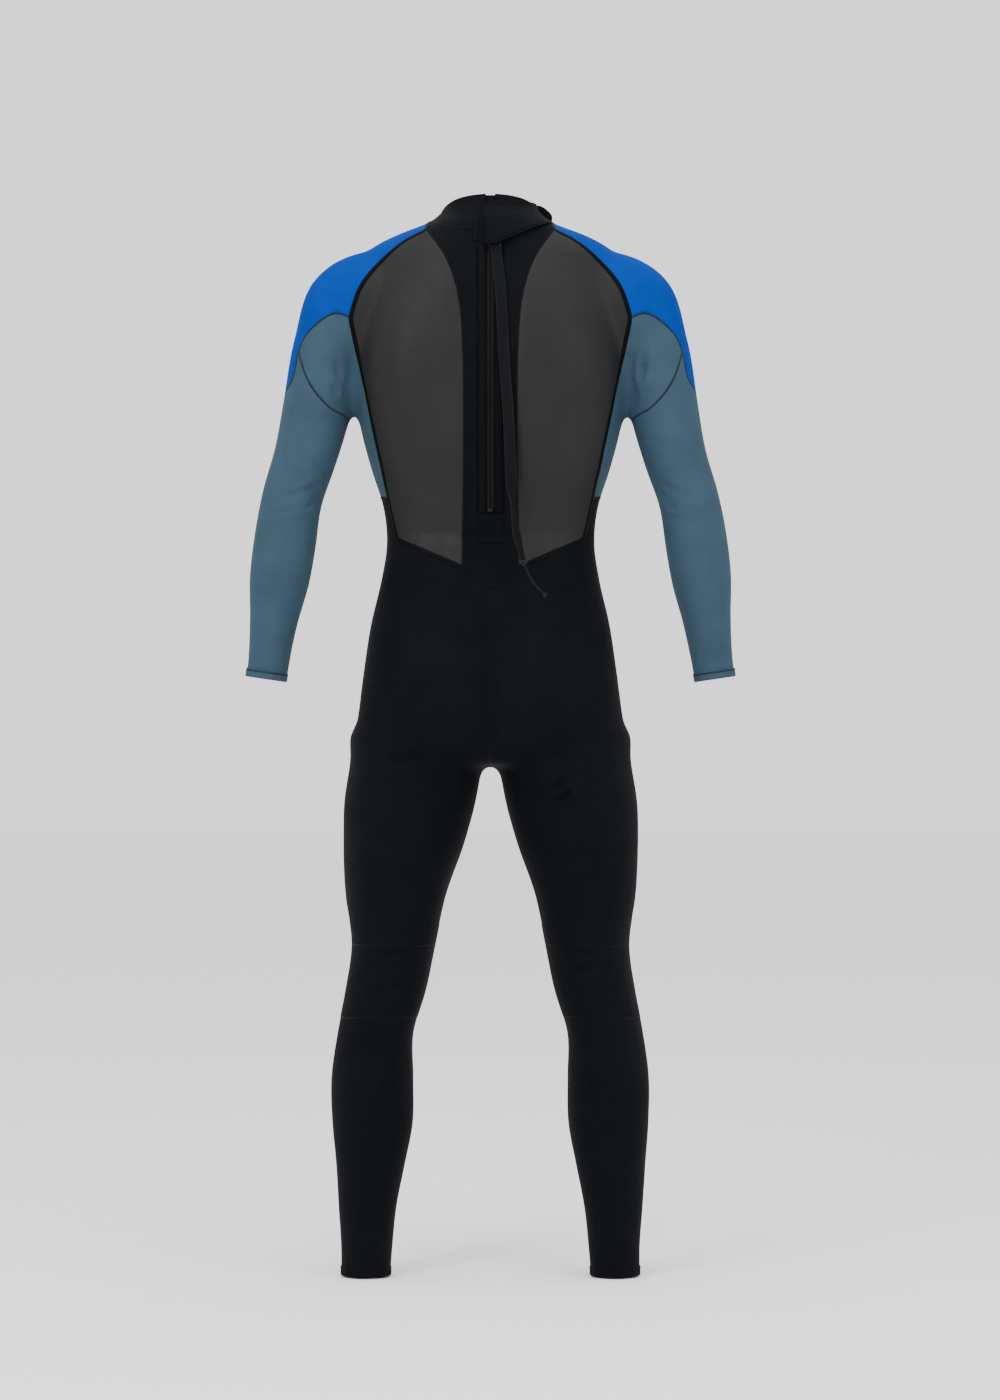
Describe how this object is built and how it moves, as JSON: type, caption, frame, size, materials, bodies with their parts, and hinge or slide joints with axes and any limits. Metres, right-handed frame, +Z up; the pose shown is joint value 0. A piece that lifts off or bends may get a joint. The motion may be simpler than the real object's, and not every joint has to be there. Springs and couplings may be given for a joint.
{
  "type": "full wetsuit",
  "caption": "Men's full wetsuit with a back zip and leash, collar closure flap, coloured shoulder and sleeve panels; elbows and knees bend, the slider runs down the back.",
  "frame": {"origin": "middle of the neck opening", "axes": "+Z up along the body, the back of the suit faces +Y, the wearer's left is +X"},
  "size_m": [0.6732, 0.2463, 1.4739],
  "materials": {
    "black_neoprene": "matt knitted jersey over neoprene",
    "blue_neoprene": "matt knitted jersey over neoprene",
    "slate_neoprene": "matt knitted jersey over neoprene",
    "smooth_skin": "satin smooth-skin neoprene",
    "knee_rubber": "matt embossed abrasion rubber",
    "seam_tape": "matt bonded tape",
    "zip_tape": "woven",
    "zip_plastic": "moulded, semi gloss",
    "slider_metal": "black enamel",
    "webbing": "woven webbing",
    "cord": "braided",
    "hook_plastic": "hook tape",
    "loop_fabric": "loop tape"
  },
  "bodies": {
    "root": {"collar": "black_neoprene", "shoulder_yoke_left": "blue_neoprene", "shoulder_yoke_right": "blue_neoprene", "side_panel_left": "slate_neoprene", "side_panel_right": "slate_neoprene", "back_panel_left": "smooth_skin", "back_panel_right": "smooth_skin", "spine_panel": "black_neoprene", "chest_panel": "smooth_skin", "upper_sleeve_left": "slate_neoprene", "upper_sleeve_right": "slate_neoprene", "elbow_sleeve_left": "slate_neoprene", "elbow_sleeve_right": "slate_neoprene", "trouser_left": "black_neoprene", "trouser_right": "black_neoprene", "knee_back_left": "black_neoprene", "knee_back_right": "black_neoprene", "knee_pad_left": "knee_rubber", "knee_pad_right": "knee_rubber", "crotch_gusset": "black_neoprene", "seam_tape_left": "seam_tape", "seam_tape_right": "seam_tape", "zip_placket_left": "black_neoprene", "zip_placket_right": "black_neoprene", "zip_tape_left": "zip_tape", "zip_tape_right": "zip_tape", "zip_row_left": "zip_plastic", "zip_row_right": "zip_plastic", "zip_bottom_stop": "zip_plastic", "zip_top_stops": "zip_plastic", "zip_barrier": "black_neoprene", "zip_patch": "seam_tape", "loop_patch": "loop_fabric", "flap_seam": "black_neoprene"},
    "flap": {"closure_flap": "black_neoprene", "hook_patch": "hook_plastic"},
    "slider": {"zip_slider": "slider_metal"},
    "pull": {"zip_pull": "slider_metal", "leash_webbing": "webbing", "leash_knot": "cord", "leash_cord": "cord", "leash_end_knot": "cord"},
    "forearm_left": {"forearm_sleeve_left": "slate_neoprene", "wrist_hem_left": "slate_neoprene"},
    "lower_leg_left": {"shin_left": "black_neoprene", "ankle_hem_left": "black_neoprene"},
    "forearm_right": {"forearm_sleeve_right": "slate_neoprene", "wrist_hem_right": "slate_neoprene"},
    "lower_leg_right": {"shin_right": "black_neoprene", "ankle_hem_right": "black_neoprene"}
  },
  "joints": [
    {"name": "flap_peel", "type": "hinge", "parent": "root", "child": "flap", "pos_m": [0.0094, 0.0854, -0.0265], "axis": [-0.0185, 0.4209, -0.9069], "range_deg": [0, 65]},
    {"name": "zip_run", "type": "hinge", "parent": "root", "child": "slider", "pos_m": [0, -0.603, -0.223], "axis": [-1, 0, 0], "range_deg": [0, 29]},
    {"name": "pull_swing", "type": "hinge", "parent": "slider", "child": "pull", "pos_m": [0, 0.09122, -0.04776], "axis": [-1, 0, 0], "range_deg": [-30, 0]},
    {"name": "elbow_left", "type": "hinge", "parent": "root", "child": "forearm_left", "pos_m": [0.2715, 0.01, -0.401], "axis": [-0.9744, 0, -0.225], "range_deg": [0, 105], "stiffness_Nm_per_rad": 0.1, "deforming": ["elbow_sleeve_left"]},
    {"name": "elbow_right", "type": "hinge", "parent": "root", "child": "forearm_right", "pos_m": [-0.2715, 0.01, -0.401], "axis": [-0.9744, 0, 0.225], "range_deg": [0, 105], "stiffness_Nm_per_rad": 0.1, "deforming": ["elbow_sleeve_right"]},
    {"name": "knee_left", "type": "hinge", "parent": "root", "child": "lower_leg_left", "pos_m": [0.137, 0.005, -1.035], "axis": [1, 0, 0], "range_deg": [0, 100], "stiffness_Nm_per_rad": 0.3, "deforming": ["knee_back_left", "knee_pad_left"]},
    {"name": "knee_right", "type": "hinge", "parent": "root", "child": "lower_leg_right", "pos_m": [-0.137, 0.005, -1.035], "axis": [1, 0, 0], "range_deg": [0, 100], "stiffness_Nm_per_rad": 0.3, "deforming": ["knee_back_right", "knee_pad_right"]}
  ],
  "couplings": [
    {"joint": "pull_swing", "follows": "zip_run", "ratio": -1}
  ]
}
